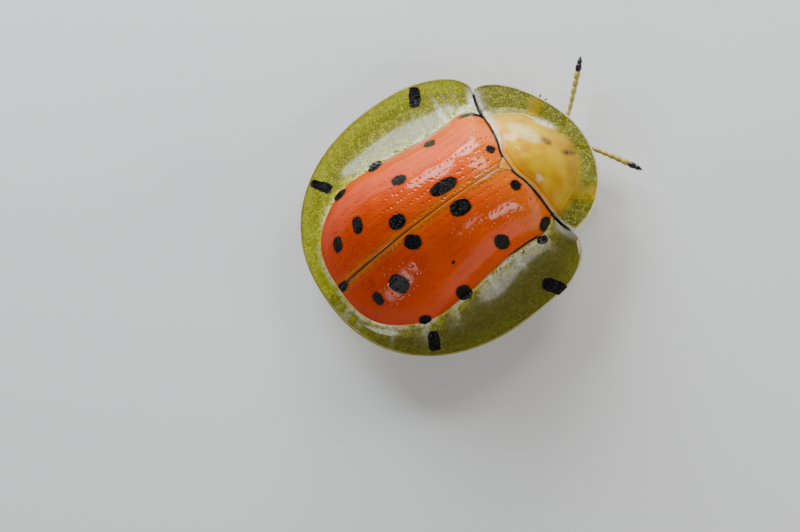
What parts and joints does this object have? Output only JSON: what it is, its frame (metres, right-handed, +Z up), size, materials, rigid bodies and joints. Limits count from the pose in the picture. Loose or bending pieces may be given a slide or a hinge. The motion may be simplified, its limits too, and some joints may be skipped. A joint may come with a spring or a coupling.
{
  "type": "tortoise beetle",
  "caption": "Life-size still model of a tortoise beetle with domed spotted wing cases, a clear flared margin, a shield over the head, feelers and legs.",
  "frame": {"origin": "under the middle of the whole model, on the floor that its feet stand on", "axes": "+Z up, the head faces -Y, the beetle's left side is +X"},
  "size_m": [0.0124, 0.0164, 0.0061],
  "materials": {
    "wing_case": "glossy orange dome with black spots",
    "margin": "clear olive yellow rim with a fine net pattern and black bars",
    "pronotum": "glossy amber yellow shield, clear towards its rim",
    "scutellum": "glossy amber orange",
    "body": "satin yellow with brownish seams",
    "eye": "dark, finely faceted",
    "limb": "satin yellow, dark at the claws and feeler tips"
  },
  "bodies": {
    "root": {"wing_case_left": "wing_case", "wing_case_right": "wing_case", "pronotum": "pronotum", "scutellum": "scutellum", "prothorax": "body", "thorax": "body", "abdomen": "body", "head": "body", "mouthparts": "body", "eye_left": "eye", "eye_right": "eye", "antenna_left": "limb", "antenna_right": "limb", "leg_front_left": "limb", "leg_front_right": "limb", "leg_middle_left": "limb", "leg_middle_right": "limb", "leg_hind_left": "limb", "leg_hind_right": "limb"}
  },
  "joints": []
}
